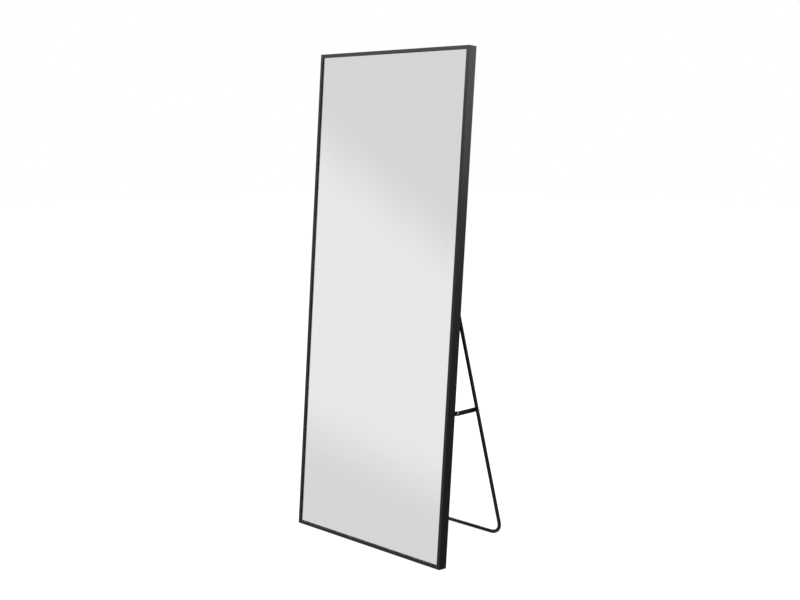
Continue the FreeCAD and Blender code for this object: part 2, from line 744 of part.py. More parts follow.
def leg_route(sketch):
    bend_end = "bend_radius - leg_length"
    corner_x = "tube_x - bend_radius"
    runs = [
        (("-tube_x", "leg_top"), ("-tube_x", bend_end)),
        (("-(%s)" % corner_x, "-leg_length"), (corner_x, "-leg_length")),
        (("tube_x", bend_end), ("tube_x", "leg_top")),
    ]
    quarter = FreeCAD.Units.Quantity("90 deg").getValueAs("rad").Value
    lines = []
    for start, end in runs:
        lines.append(sketch.addGeometry(Part.LineSegment(spot(*start), spot(*end)), False))
        pin_point(sketch, lines[-1], 1, *start)
        pin_point(sketch, lines[-1], 2, *end)
    for index, centre_x in ((0, "-(%s)" % corner_x), (1, corner_x)):
        base = Part.Circle(spot(centre_x, bend_end), FreeCAD.Vector(0, 0, 1), value("bend_radius"))
        start_angle = (2 + index) * quarter
        arc = sketch.addGeometry(Part.ArcOfCircle(base, start_angle, start_angle + quarter), False)
        sketch.addConstraint(Sketcher.Constraint("Coincident", lines[index], 2, arc, 1))
        sketch.addConstraint(Sketcher.Constraint("Coincident", arc, 2, lines[index + 1], 1))
        set_radius(sketch, arc, "bend_radius")


tube = leg.newObject("PartDesign::AdditivePipe", "leg_tube_bending")
tube.Profile = tube_outline
tube.Spine = (new_sketch(leg, "XZ", "0", [(leg_route,)]), [])
leg_outside = "tube_x + tube_radius + %s" % cut_margin
cut(leg, "YZ", "-(%s)" % leg_outside, "2 * (%s)" % leg_outside,
    (circle, "0", "0", "bolt_hole"), (circle, "0", "-stay_drop", "rivet_hole"))

for name, side in sides:
    # Plug that closes the tube's open top, above the hinge.
    plug = new_body("leg_plug_" + name, "leg_frame", "vector(%d * tube_x; 0; leg_top)" % side)
    pad(plug, "XY", "-plug_depth", "plug_depth", (circle, "0", "0", "tube_bore - turning_fit"))
    cap = pad(plug, "XY", "0", "plug_cap", (circle, "0", "0", "tube_radius"))
    round_rims(plug, cap, "plug_cap * %s" % head_rounding, is_rim("z", "plug_cap", "tube_radius"))

    stay_place = at_mirror(side, "0", "pivot_back", "stay_height")
    pivot_circle = (circle, "0", "0", "rivet_hole")

    # Angle bracket: a plate on the back board and one ear for the stay's pivot, with a
    # stop pin above the link.
    bracket = new_body("stay_bracket_" + name, "mirror_frame", stay_place)
    half_rise = "stay_plate_height / 2"
    near = "stay_plate_inside" if side > 0 else "-stay_ear_outside"
    far = "stay_ear_outside" if side > 0 else "-stay_plate_inside"
    pad(bracket, "XZ", "-pivot_to_board", "bracket_thickness",
        (rectangle, near, far, "-" + half_rise, half_rise))
    side_pad(bracket, side, "stay_ear_inside", "stay_ear_outside", (polygon, [
        ("-pivot_to_board", "-ear_foot / 2"),
        ("-ear_clip", "-ear_radius"),
        ("ear_radius - ear_clip", "-ear_radius"),
        ("ear_radius", "ear_clip - ear_radius"),
        ("ear_radius", "stop_ear_up - ear_clip"),
        ("ear_radius - ear_clip", "stop_ear_up"),
        ("-ear_clip", "stop_ear_up"),
        ("-pivot_to_board", "stop_ear_up + ear_radius / 2"),
    ]))
    side_pad(bracket, side, "stay_ear_outside", "frame_link_outside",
             (circle, "stop_pin_back", "stop_pin_up", "stop_pin_diameter / 2"))
    side_cut(bracket, side, "stay_ear_inside", "stay_ear_outside", pivot_circle)
    plate_holes = [(circle, "%d * stay_screw_x" % side, "%r * stay_screw_rise" % up, "screw_hole")
                   for up in (-0.5, 0.5)]
    cut(bracket, "XZ", "-pivot_to_board - %s" % cut_margin,
        "bracket_thickness + 2 * %s" % cut_margin, *plate_holes)

    backing = new_body("stay_backing_plate_" + name, "mirror_frame",
                       at_mirror(side, "0", "backing_front", "stay_height"))
    half_rise = "(stay_plate_height / 2 - backing_margin)"
    near = "(stay_plate_inside + backing_margin)" if side > 0 else "-(stay_ear_outside - backing_margin)"
    far = "(stay_ear_outside - backing_margin)" if side > 0 else "-(stay_plate_inside + backing_margin)"
    pad(backing, "XZ", "0", "backing_thickness", (rectangle, near, far, "-" + half_rise, half_rise))
    cut(backing, "XZ", "-%s" % cut_margin, "backing_thickness + 2 * %s" % cut_margin, *plate_holes)

    # Pivot rivet on the mirror: through the ear and the link, with a low head on each side.
    rivet_radius = "rivet_diameter / 2"
    head_radius = "rivet_head_diameter / 2"
    outer_head = "frame_link_outside + side_gap"
    turned("stay_frame_rivet_" + name, "mirror_frame", stay_place, side, [
        ("stay_ear_inside - rivet_head_height", "0"),
        (outer_head + " + low_head_height", "0"),
        (outer_head + " + low_head_height", head_radius),
        (outer_head, head_radius),
        (outer_head, rivet_radius),
        ("stay_ear_inside", rivet_radius),
        ("stay_ear_inside", head_radius),
        ("stay_ear_inside - rivet_head_height", head_radius),
    ])

    # The two links, drawn along the open stay.
    link = new_body("frame_link_" + name, "stay_frame")
    side_pad(link, side, "frame_link_inside", "frame_link_outside",
             (round_bar, "0", "frame_link_length", "link_radius"))
    side_cut(link, side, "frame_link_inside", "frame_link_outside",
             pivot_circle, (circle, "frame_link_length", "0", "rivet_hole"))
    link = new_body("leg_link_" + name, "stay_frame")
    side_pad(link, side, "leg_link_inside", "leg_link_outside",
             (round_bar, "frame_link_length", "stay_length", "link_radius"))
    side_cut(link, side, "leg_link_inside", "leg_link_outside",
             (circle, "frame_link_length", "0", "rivet_hole"), (circle, "stay_length", "0", "rivet_hole"))

    # The rivet between the links, parted in the space between them: the outer half turns
    # with the leg's link and the inner half with the mirror's link.
    middle_place = "vector(0; frame_link_length; 0)"
    outer_half, turning = turned("middle_rivet_outer_" + name, "stay_frame", middle_place, side,
                                 headed("rivet_parting + side_gap / 2", "leg_link_outside",
                                        "leg_link_outside + rivet_head_height", rivet_radius, head_radius))
    round_rims(outer_half, turning, "rivet_head_height * %s" % head_rounding,
               is_rim("x", "%d * (leg_link_outside + rivet_head_height)" % side, head_radius))
    inner_half, turning = turned("middle_rivet_inner_" + name, "stay_frame", middle_place, side,
                                 headed("rivet_parting - side_gap / 2", "frame_link_inside",
                                        "frame_link_inside - rivet_head_height", rivet_radius, head_radius))
    round_rims(inner_half, turning, "rivet_head_height * %s" % head_rounding,
               is_rim("x", "%d * (frame_link_inside - rivet_head_height)" % side, head_radius))

    # Rivet through the leg's tube, its spacer and the leg's link.
    leg_place = "vector(0; 0; -stay_drop)"
    inner_head = "leg_link_inside - side_gap"
    tube_face = "tube_x + tube_radius"
    inner_head_height = "(link_spacing - 2 * side_gap)"
    turned("leg_stay_rivet_" + name, "leg_frame", leg_place, side, [
        ("%s - %s" % (inner_head, inner_head_height), "0"),
        (tube_face + " + low_head_height", "0"),
        (tube_face + " + low_head_height", head_radius),
        (tube_face, head_radius),
        (tube_face, rivet_radius),
        (inner_head, rivet_radius),
        (inner_head, head_radius),
        ("%s - %s" % (inner_head, inner_head_height), head_radius),
    ])

    # Spacer with a hollow face that sits on the side of the tube.
    spacer = new_body("leg_stay_spacer_" + name, "leg_frame", leg_place)
    side_pad(spacer, side, "spacer_side", "tube_x - tube_radius / 2",
             (circle, "0", "0", "spacer_diameter / 2"))
    cut(spacer, "XY", "-spacer_diameter", "2 * spacer_diameter",
        (circle, "%d * tube_x" % side, "0", "tube_radius + turning_fit"))
    side_cut(spacer, side, "spacer_side", "tube_x", pivot_circle)

    # Rubber pad under the bottom rail, wedged so that it lies flat on the floor.
    floor_pad = new_body("floor_pad_" + name, "mirror_frame")
    side_pad(floor_pad, side, "half_width - pad_end_distance - pad_length",
             "half_width - pad_end_distance", (polygon, [
                 ("pad_front", "0"),
                 ("pad_front", "-pad_front_thickness"),
                 ("pad_rear", "-pad_thickness"),
                 ("pad_rear", "0"),
             ]))

    # Keyhole plate on the back, raised in its middle to make room for a screw's head.
    hanger = new_body("hanger_plate_" + name, "mirror_frame",
                      at_mirror(side, "half_width - board_screw_inset", "0", "hanger_height"))
    half_length = "hanger_length / 2"
    bend = "(hanger_length / 2 - hanger_foot)"
    rise = "hanger_lift"
    pad(hanger, "YZ", "-hanger_width / 2", "hanger_width", (polygon, [
        ("board_back", "-%s" % half_length),
        ("board_back + hanger_thickness", "-%s" % half_length),
        ("board_back + hanger_thickness", "-%s - hanger_thickness" % bend),
        ("hanger_back", "-%s - hanger_thickness + %s" % (bend, rise)),
        ("hanger_back", "%s + hanger_thickness - %s" % (bend, rise)),
        ("board_back + hanger_thickness", "%s + hanger_thickness" % bend),
        ("board_back + hanger_thickness", half_length),
        ("board_back", half_length),
        ("board_back", bend),
        ("hanger_back - hanger_thickness", "%s - %s" % (bend, rise)),
        ("hanger_back - hanger_thickness", "%s - %s" % (rise, bend)),
        ("board_back", "-%s" % bend),
    ]))
    slot_radius = "keyslot_width / 2"
    entry_up = "-keyslot_rise / 2"
    cut_start = "board_back - %s" % cut_margin
    cut_length = "hanger_lift + hanger_thickness + 2 * %s" % cut_margin
    cut(hanger, "XZ", cut_start, cut_length, (circle, "0", entry_up, "keyhole_diameter / 2"))
    cut(hanger, "XZ", cut_start, cut_length,
        (rectangle, "-" + slot_radius, slot_radius, entry_up, "keyslot_rise / 2"))
    cut(hanger, "XZ", cut_start, cut_length, (circle, "0", "keyslot_rise / 2", slot_radius))
    cut(hanger, "XZ", cut_start, cut_length,
        *[(circle, "0", "%r * hanger_screw_rise" % up, "screw_hole") for up in (-0.5, 0.5)])

doc.recompute()

for item in doc.Objects:
    if "Invalid" in item.State or "Error" in item.State:
        raise RuntimeError("%s did not build: %s" % (item.Label, item.State))
for item in doc.Objects:
    if item.TypeId == "PartDesign::Pocket" and item.BaseFeature:
        removed = item.BaseFeature.Shape.Volume - item.Shape.Volume
        if removed < 1e-3:
            raise RuntimeError("%s removes nothing" % item.Name)

os.makedirs("parts", exist_ok=True)
for body in sub_parts:
    shape = body.Shape
    if shape.isNull() or not shape.isValid():
        raise RuntimeError("%s has no valid shape" % body.Label)
    shape.exportStep("parts/%s.step" % body.Label)
    print("%-28s %2d solid(s) %10.1f mm3" % (body.Label, len(shape.Solids), shape.Volume))
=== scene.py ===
import json
import math

import bmesh
import bpy
from mathutils import Matrix, Vector


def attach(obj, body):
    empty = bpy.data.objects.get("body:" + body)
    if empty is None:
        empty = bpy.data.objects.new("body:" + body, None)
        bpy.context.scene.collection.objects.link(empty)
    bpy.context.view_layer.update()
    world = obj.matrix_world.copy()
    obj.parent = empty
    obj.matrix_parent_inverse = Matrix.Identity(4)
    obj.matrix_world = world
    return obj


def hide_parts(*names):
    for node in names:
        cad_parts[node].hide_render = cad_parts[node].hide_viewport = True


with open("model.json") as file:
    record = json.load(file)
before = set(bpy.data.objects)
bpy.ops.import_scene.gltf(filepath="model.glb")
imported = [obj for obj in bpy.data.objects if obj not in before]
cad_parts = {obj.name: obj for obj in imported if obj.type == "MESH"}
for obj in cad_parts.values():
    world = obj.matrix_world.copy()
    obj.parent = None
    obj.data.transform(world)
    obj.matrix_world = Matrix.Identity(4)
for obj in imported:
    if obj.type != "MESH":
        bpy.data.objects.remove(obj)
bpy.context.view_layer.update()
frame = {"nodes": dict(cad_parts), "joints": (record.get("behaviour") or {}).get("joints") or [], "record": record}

scene = bpy.context.scene
scene.view_settings.view_transform = "Standard"
mm = 0.001
weld = 0.001 * mm  # points this close are one point
print("frame loaded:", len(frame["nodes"]), "nodes")


# Where things are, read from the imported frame. The mirror leans back, so its own axes are
# x to the right, n backwards from the front of the lip and u up along the glass.
keyholeAxis = next(m for m in frame["record"]["mounts"] if m["name"] == "keyhole_left")["axis"]
lean = math.atan2(-keyholeAxis[2], keyholeAxis[1])
upright = Matrix.Rotation(lean, 3, "X")


def leaningBox(*names):
    points = [upright @ v.co for name in names for v in frame["nodes"][name].data.vertices]
    low = Vector([min(p[i] for p in points) for i in range(3)])
    high = Vector([max(p[i] for p in points) for i in range(3)])
    return low, high


railNames = ("rail_left", "rail_right", "rail_top", "rail_bottom")
railLow, railHigh = leaningBox(*railNames)
mirrorStart = Vector((0, railLow.y, railLow.z))
halfWidth = (railHigh.x - railLow.x) / 2
fullHeight = railHigh.z - railLow.z
toRow = Matrix.Rotation(-lean, 4, "X") @ Matrix.Translation(mirrorStart)


# The camera stands where the photograph was taken from.
camera = dict(
    place=(2.896, -3.0, 1.4206),
    turn=44.33,     # degrees to the left of straight back
    tilt=7.89,      # degrees down
    lens=54.04,
    sensor=36.0,
)


def addCamera():
    data = bpy.data.cameras.new("photoCamera")
    data.lens = camera["lens"]
    data.sensor_width = camera["sensor"]
    eye = bpy.data.objects.new("photoCamera", data)
    scene.collection.objects.link(eye)
    eye.location = camera["place"]
    eye.rotation_euler = (math.radians(90 - camera["tilt"]), 0, math.radians(camera["turn"]))
    scene.camera = eye


addCamera()
print("camera placed")


# Nodes: a wrapper for a socket that takes Python's operators, and one for a tree.
class Signal:
    def __init__(self, tree, socket):
        self.tree = tree
        self.socket = socket

    def maths(self, operation, other=0.0, swapped=False):
        first, second = (other, self) if swapped else (self, other)
        return self.tree.add(self.tree.mathNode, {"operation": operation}, {0: first, 1: second})

    def __add__(self, other):
        return self.maths("ADD", other)

    def __sub__(self, other):
        return self.maths("SUBTRACT", other)

    def __rsub__(self, other):
        return self.maths("SUBTRACT", other, True)

    def __mul__(self, other):
        return self.maths("MULTIPLY", other)

    def __abs__(self):
        return self.maths("ABSOLUTE")

    def least(self, other):
        return self.maths("MINIMUM", other)

    def below(self, edge, soft):  # 1 well below the edge, 0 well above it
        return self.tree.add("ShaderNodeMapRange", {"interpolation_type": "SMOOTHSTEP"},
                             {0: self, 1: edge - soft, 2: edge + soft, 3: 1.0, 4: 0.0})

    def spread(self, low, high):  # a 0 to 1 signal between two values
        return self.tree.add("ShaderNodeMapRange", {}, {0: self, 3: low, 4: high})


class Nodes:
    mathNode = "ShaderNodeMath"

    def __init__(self, tree):
        self.tree = tree
        tree.nodes.clear()

    def add(self, kind, settings=None, values=None, output=0):
        node = self.tree.nodes.new(kind)
        for name, setting in (settings or {}).items():
            setattr(node, name, setting)
        for key, value in (values or {}).items():
            if isinstance(value, Signal):
                self.tree.links.new(value.socket, node.inputs[key])
            else:
                node.inputs[key].default_value = value
        return Signal(self, node.outputs[output]) if node.outputs else None


class Finish(Nodes):
    def __init__(self, name):
        self.material = bpy.data.materials.new(name)
        self.material.use_nodes = True
        super().__init__(self.material.node_tree)
        self.place = self.add("ShaderNodeTexCoord", output="Object")

    def noise(self, size, detail=3.0, roughness=0.5, stretch=(1, 1, 1)):
        squeezed = self.add("ShaderNodeMapping", {}, {0: self.place, 3: stretch})
        return self.add("ShaderNodeTexNoise", {}, {"Vector": squeezed, "Scale": 1 / size,
                                                   "Detail": detail, "Roughness": roughness})

    def cells(self, size):
        return self.add("ShaderNodeTexVoronoi", {}, {"Vector": self.place, "Scale": 1 / size})

    def mix(self, factor, first, second):
        return self.add("ShaderNodeMix", {"data_type": "RGBA"}, {0: factor, 6: first, 7: second}, output=2)

    def bump(self, height, distance, strength=1.0, before=None):  # before: a bump under it
        values = {"Height": height, "Distance": distance, "Strength": strength}
        if before:
            values["Normal"] = before
        return self.add("ShaderNodeBump", {}, values)

    def onMirror(self):  # x, n and u of the leaning mirror, from its lower front edge
        turned = self.add("ShaderNodeMapping", {},
                          {0: self.place, 1: tuple(-mirrorStart), 2: (lean, 0, 0)})
        split = self.add("ShaderNodeSeparateXYZ", {}, {0: turned})
        outputs = split.socket.node.outputs
        return [Signal(self, outputs[i]) for i in range(3)]

    def close(self, **sockets):  # a socket's name has _ for each space
        values = {name.replace("_", " "): value for name, value in sockets.items()}
        shader = self.add("ShaderNodeBsdfPrincipled", {}, values)
        self.add("ShaderNodeOutputMaterial", {}, {0: shader})
        return self.material


def grey(level, warmth=0.0):
    return (level * (1 + warmth), level, level * (1 - warmth), 1.0)


# Satin black coating on the rails: fine orange peel, a hairline at each mitre and edges
# that hands have polished a little.
frameCoat = dict(
    base=0.004,
    worn=0.015,
    roughness=(0.36, 0.46),
    peelSize=1.6 * mm,
    peelDepth=0.006 * mm,
    cloudSize=60 * mm,
    mitreLine=0.14 * mm,
    mitreDepth=0.12 * mm,
    mitreReach=14 * mm,     # how far in from the side the hairline can show
    mitreEnd=0.1 * mm,      # softness of its inner end
    mitreShow=0.8,
    mitreShade=0.3,
    edgeBand=0.5 * mm,      # width of the polished edge
    rubSize=8 * mm,
    rubMost=0.9,
    rubShow=0.5,
    rubGloss=-0.08,
    specular=0.2,
)


def coatedFrame():
    look = frameCoat
    f = Finish("satinBlackFrame")
    x, n, u = f.onMirror()
    fromSide = halfWidth - abs(x)
    fromEnd = fullHeight / 2 - abs(u - fullHeight / 2)
    offMitre = abs(fromSide - fromEnd)
    seam = offMitre.below(look["mitreLine"], look["mitreLine"] / 2)
    seam = seam * fromSide.below(look["mitreReach"], look["mitreEnd"])
    outer = fromSide.least(fromEnd)
    band = look["edgeBand"]
    lipEdge = outer.below(band, band) * n.below(band, band)
    cloud = f.noise(look["cloudSize"])
    rub = lipEdge * f.noise(look["rubSize"], 4).spread(0.0, look["rubMost"])
    colour = f.mix(rub * look["rubShow"], grey(look["base"]), grey(look["worn"]))
    colour = f.mix(seam * look["mitreShow"], colour, grey(look["base"] * look["mitreShade"]))
    peel = f.noise(look["peelSize"], 2)
    coat = f.bump(peel, look["peelDepth"])
    joint = f.bump(1 - seam, look["mitreDepth"], 1.0, coat)
    low, high = look["roughness"]
    return f.close(Base_Color=colour, Roughness=cloud.spread(low, high) + rub * look["rubGloss"],
                   Specular_IOR_Level=look["specular"], Normal=joint)


# The same kind of coating on the steel pieces: the tube, the links and the brackets. It has
# small scuffs, and dust where the tube lies on the floor.
steelCoat = dict(
    peelSize=1.2 * mm,
    peelDepth=0.008 * mm,
    cloudSize=45 * mm,
    scuffSize=9 * mm,
    scuffStretch=(1, 1, 0.25),
    scuffFrom=(0.36, 0.03),     # level of the noise and its softness
    scuffShow=0.15,
    scuffLighter=3,
    scuffRough=0.06,
    dustHeight=4 * mm,
    dustSoft=3 * mm,
    dustTone=(0.12, 0.05),      # level and warmth
    dustRough=0.3,
)


def coatedSteel(name, base, roughness, specular, dusty=0.0):
    look = steelCoat
    f = Finish(name)
    height = f.add("ShaderNodeSeparateXYZ", {}, {0: f.place}, output=2)
    cloud = f.noise(look["cloudSize"], 4)
    scuff = f.noise(look["scuffSize"], 6, 0.7, look["scuffStretch"]).below(*look["scuffFrom"])
    floorDust = height.below(look["dustHeight"], look["dustSoft"]) * dusty
    colour = f.mix(scuff * look["scuffShow"], grey(base), grey(base * look["scuffLighter"]))
    colour = f.mix(floorDust, colour, grey(*look["dustTone"]))
    peel = f.noise(look["peelSize"], 2)
    low, high = roughness
    rough = cloud.spread(low, high) + scuff * look["scuffRough"] + floorDust * look["dustRough"]
    return f.close(Base_Color=colour, Roughness=rough, Specular_IOR_Level=specular,
                   Normal=f.bump(peel, look["peelDepth"]))


# The mirror is a clear pane with a silver coating and grey paint in it. The coating lies at
# the depth where it seems to be through the glass, so the lip's reflection has its true width.
pane = dict(
    silver=0.71,
    depth=2.1 * mm,         # of the coating's image behind the pane's face
    frontShine=0.045,
    frontTone=0.95,
    smear=(0.003, 0.012),
    smearSize=160 * mm,
    smearStretch=(1, 1, 0.4),
    wipeSize=40 * mm,
    wipeStretch=(1, 1, 0.15),
    wipeFrom=(0.42, 0.12),
    wipeRough=0.006,
    coating=0.06 * mm,      # thickness of the coating with its paint
    edge=0.5 * mm,          # bare glass round the coating
    paint=0.12,
    paintRough=0.5,
)


def clearGlass():
    look = pane
    f = Finish("clearGlass")
    smear = f.noise(look["smearSize"], 5, 0.6, look["smearStretch"])
    low, high = look["smear"]
    return f.close(Base_Color=grey(look["frontTone"]), Metallic=1.0, Alpha=look["frontShine"],
                   Roughness=smear.spread(low, high))


def silverCoating():
    look = pane
    f = Finish("silverCoating")
    behind = f.onMirror()[1]
    front = leaningBox("mirror_glass")[0].y - railLow.y + look["depth"]
    painted = 1 - behind.below(front + look["coating"] / 2, look["coating"] / 5)
    colour = f.mix(painted, grey(look["silver"]), grey(look["paint"]))
    wipe = f.noise(look["wipeSize"], 3, 0.5, look["wipeStretch"]).below(*look["wipeFrom"])
    return f.close(Base_Color=colour, Metallic=1 - painted,
                   Roughness=wipe * look["wipeRough"] + painted * look["paintRough"])


# Back board: dark thin fibre board with a pressed grain and pale flecks.
boardLook = dict(
    base=(0.03, 0.03),      # level and warmth
    light=(0.06, 0.05),
    fleckTone=(0.132, 0.08),
    grain=0.5 * mm,
    grainStretch=(1, 1, 0.35),
    grainDepth=0.05 * mm,
    grainShow=0.3,
    cloud=140 * mm,
    cloudShow=0.5,
    fleck=3.5 * mm,         # space between flecks
    fleckFrom=(0.16, 0.05),
    fleckPatch=6 * mm,      # size of the patches that have flecks
    fleckPatchFrom=(0.45, 0.05),
    fleckShow=0.35,
    roughness=(0.62, 0.85),
    specular=0.35,
)


def darkBoard():
    look = boardLook
    f = Finish("darkBackBoard")
    fibre = f.noise(look["grain"], 4, 0.7, look["grainStretch"])
    patch = f.noise(look["fleckPatch"], 2).below(*look["fleckPatchFrom"])
    fleck = f.cells(look["fleck"]).below(*look["fleckFrom"]) * patch
    light = f.noise(look["cloud"]) * look["cloudShow"] + fibre * look["grainShow"]
    colour = f.mix(light, grey(*look["base"]), grey(*look["light"]))
    colour = f.mix(fleck * look["fleckShow"], colour, grey(*look["fleckTone"]))
    return f.close(Base_Color=colour, Roughness=fibre.spread(*look["roughness"]),
                   Specular_IOR_Level=look["specular"], Normal=f.bump(fibre, look["grainDepth"], 0.7))


# Bare or zinc-plated metal with fine scratches, and moulded nylon, rubber and foam.
metalLook = dict(cloud=12 * mm, stain=0.25, stained=0.55, scratchDepth=0.004 * mm)
mouldedLook = dict(cloud=20 * mm, lighter=1.6)


def bareMetal(name, level, roughness, scratch, stretch):
    look = metalLook
    f = Finish(name)
    lines = f.noise(scratch, 5, 0.6, stretch)
    cloud = f.noise(look["cloud"], 4)
    colour = f.mix(cloud * look["stain"], grey(level), grey(level * look["stained"]))
    return f.close(Base_Color=colour, Metallic=1.0, Roughness=lines.spread(*roughness),
                   Normal=f.bump(lines, look["scratchDepth"], 0.5))


def moulded(name, base, roughness, grain, depth, specular=0.45):
    look = mouldedLook
    f = Finish(name)
    texture = f.noise(grain)
    colour = f.mix(f.noise(look["cloud"]), grey(base), grey(base * look["lighter"]))
    return f.close(Base_Color=colour, Roughness=texture.spread(*roughness),
                   Specular_IOR_Level=specular, Normal=f.bump(texture, depth))


finishes = dict(
    frame=coatedFrame(),
    glass=clearGlass(),
    silver=silverCoating(),
    board=darkBoard(),
    tube=coatedSteel("satinBlackTube", 0.003, (0.3, 0.42), 0.2, dusty=0.25),
    link=coatedSteel("satinBlackLink", 0.004, (0.34, 0.46), 0.25),
    bracket=coatedSteel("satinBlackBracket", 0.01, (0.36, 0.48), 0.42),
    screw=bareMetal("darkZincScrew", 0.2, (0.24, 0.36), 0.3 * mm, (6, 6, 6)),
    rivet=bareMetal("plainSteelRivet", 0.5, (0.25, 0.4), 0.3 * mm, (6, 6, 6)),
    plate=bareMetal("zincPlate", 0.55, (0.3, 0.45), 0.6 * mm, (1, 1, 9)),
    key=bareMetal("millAluminium", 0.62, (0.3, 0.5), 0.4 * mm, (9, 1, 1)),
    nylon=moulded("blackNylon", 0.012, (0.42, 0.55), 0.5 * mm, 0.01 * mm),
    rubber=moulded("blackRubber", 0.01, (0.7, 0.85), 0.8 * mm, 0.03 * mm, 0.3),
    # The glazing strip is grey tape, but its grey is paler than the tape's own. This paints light into the shaded
    # groove behind the lip, standing in for the lit inner wall of the lip.
    strip=moulded("glazingStripWithPaintedLight", 0.12, (0.6, 0.75), 0.6 * mm, 0.01 * mm, 0.3),
    foam=moulded("whiteFoam", 0.55, (0.8, 0.95), 1.5 * mm, 0.1 * mm, 0.3),
)

finishOfSlot = dict(
    frame_black="frame",
    key_metal="key",
    screw_steel="screw",
    seal="strip",
    mirror_glass="glass",
    foam="foam",
    back_board="board",
    bracket_black="bracket",
    plate_steel="plate",
    nylon="nylon",
    rivet_steel="rivet",
    pad_rubber="rubber",
    leg_black="tube",
    link_black="link",
)

slotOfNode = {entry["node"]: entry["material_slot"] for entry in frame["record"]["subparts"]}
for name, node in frame["nodes"].items():
    node.data.materials.clear()
    node.data.materials.append(finishes[finishOfSlot[slotOfNode[name]]])
print("finishes on", len(slotOfNode), "nodes")


def finalMesh(thing):  # what an object's modifiers make of it
    return bpy.data.meshes.new_from_object(thing.evaluated_get(bpy.context.evaluated_depsgraph_get()))


# Pieces made here in place of plainer solids. A template is modelled in the mirror's own
# x, n and u, and Geometry Nodes set it at every spot of its kind.
class Shape(Nodes):  # a Geometry Nodes tree; each input is name=(socket type, value)
    def __init__(self, name, **inputs):
        self.group = bpy.data.node_groups.new(name, "GeometryNodeTree")
        super().__init__(self.group)
        self.settings = []
        face = self.group.interface
        face.new_socket("Geometry", in_out="INPUT", socket_type="NodeSocketGeometry")
        for label, (kind, value) in inputs.items():
            socket = face.new_socket(label, in_out="INPUT", socket_type="NodeSocket" + kind)
            self.settings.append((socket.identifier, value))
        face.new_socket("Geometry", in_out="OUTPUT", socket_type="NodeSocketGeometry")
        self.start = self.group.nodes.new("NodeGroupInput")

    def given(self, label):
        return Signal(self, self.start.outputs[label])

    def out(self, geometry, material):
        whole = self.add("GeometryNodeRealizeInstances", {}, {0: geometry})
        dressed = self.add("GeometryNodeSetMaterial", {}, {"Geometry": whole, "Material": material})
        self.add("NodeGroupOutput", {}, {0: dressed})

    def grow(self, name, seed):
        thing = bpy.data.objects.new(name, seed)
        scene.collection.objects.link(thing)
        modifier = thing.modifiers.new("shape", "NODES")
        modifier.node_group = self.group
        for identifier, value in self.settings:
            modifier[identifier] = value
        mesh = finalMesh(thing)
        mesh.name = name
        thing.modifiers.remove(modifier)
        thing.data = mesh
        bpy.data.meshes.remove(seed)
        return thing


def fit(thing, body, slot, *replaced):
    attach(thing, body)
    for name in replaced:
        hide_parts(name)


# The leg is one steel tube bent into a U, with an open bore.
leg = dict(
    radius=12.7 * mm / 2,
    wall=1.2 * mm,
    bend=48 * mm,
    top=12 * mm,      # how far the tube goes on above the hinge bolt
    arcSteps=40,
    roundSteps=56,
)


def makeLeg():  # a line of four corners, filleted, in the leg's own plane; then a tube along it
    hinge = Vector(next(j for j in frame["joints"] if j["name"] == "leg_fold")["pos_m"])
    points = [v.co for v in frame["nodes"]["leg_tube"].data.vertices]
    foot = Vector((0, max(p.y for p in points) - leg["radius"], leg["radius"]))
    down = foot - hinge
    tubeX = max(p.x for p in points) - leg["radius"]
    s = Shape("bentLegTube", Radius=("Float", leg["radius"]), Bend=("Float", leg["bend"]),
              HalfWidth=("Float", tubeX), Length=("Float", down.length), Top=("Float", leg["top"]))
    line = s.add("GeometryNodeMeshLine", {}, {"Count": 4})
    step = s.add("GeometryNodeInputIndex") - 1.5  # -1.5 and 1.5 are the tops, the others the foot
    side = step.maths("SIGN")
    atTop = abs(step).maths("GREATER_THAN", 1.0)
    x = side * s.given("HalfWidth")
    z = atTop * (s.given("Top") + s.given("Length")) - s.given("Length")
    spot = s.add("ShaderNodeCombineXYZ", {}, {0: x, 2: z})
    line = s.add("GeometryNodeSetPosition", {}, {"Geometry": line, "Position": spot})
    path = s.add("GeometryNodeMeshToCurve", {}, {0: line})
    path = s.add("GeometryNodeFilletCurve", {"mode": "POLY"},
                 {"Curve": path, "Count": leg["arcSteps"], "Radius": s.given("Bend")})
    ring = s.add("GeometryNodeCurvePrimitiveCircle", {}, {"Resolution": leg["roundSteps"],
                                                          "Radius": s.given("Radius")})
    tube = s.add("GeometryNodeCurveToMesh", {}, {"Curve": path, "Profile Curve": ring})
    tube = s.add("GeometryNodeSetShadeSmooth", {}, {"Geometry": tube})
    s.out(tube, finishes["tube"])
    thing = s.grow("legTube", bpy.data.meshes.new("legPath"))
    tilt = math.atan2(down.y, -down.z)
    thing.data.transform(Matrix.Translation(hinge) @ Matrix.Rotation(tilt, 4, "X"))
    thicken = thing.modifiers.new("wall", "SOLIDIFY")
    thicken.thickness = leg["wall"]
    thicken.offset = -1  # inwards
    fit(thing, "leg", "leg_black", "leg_tube")


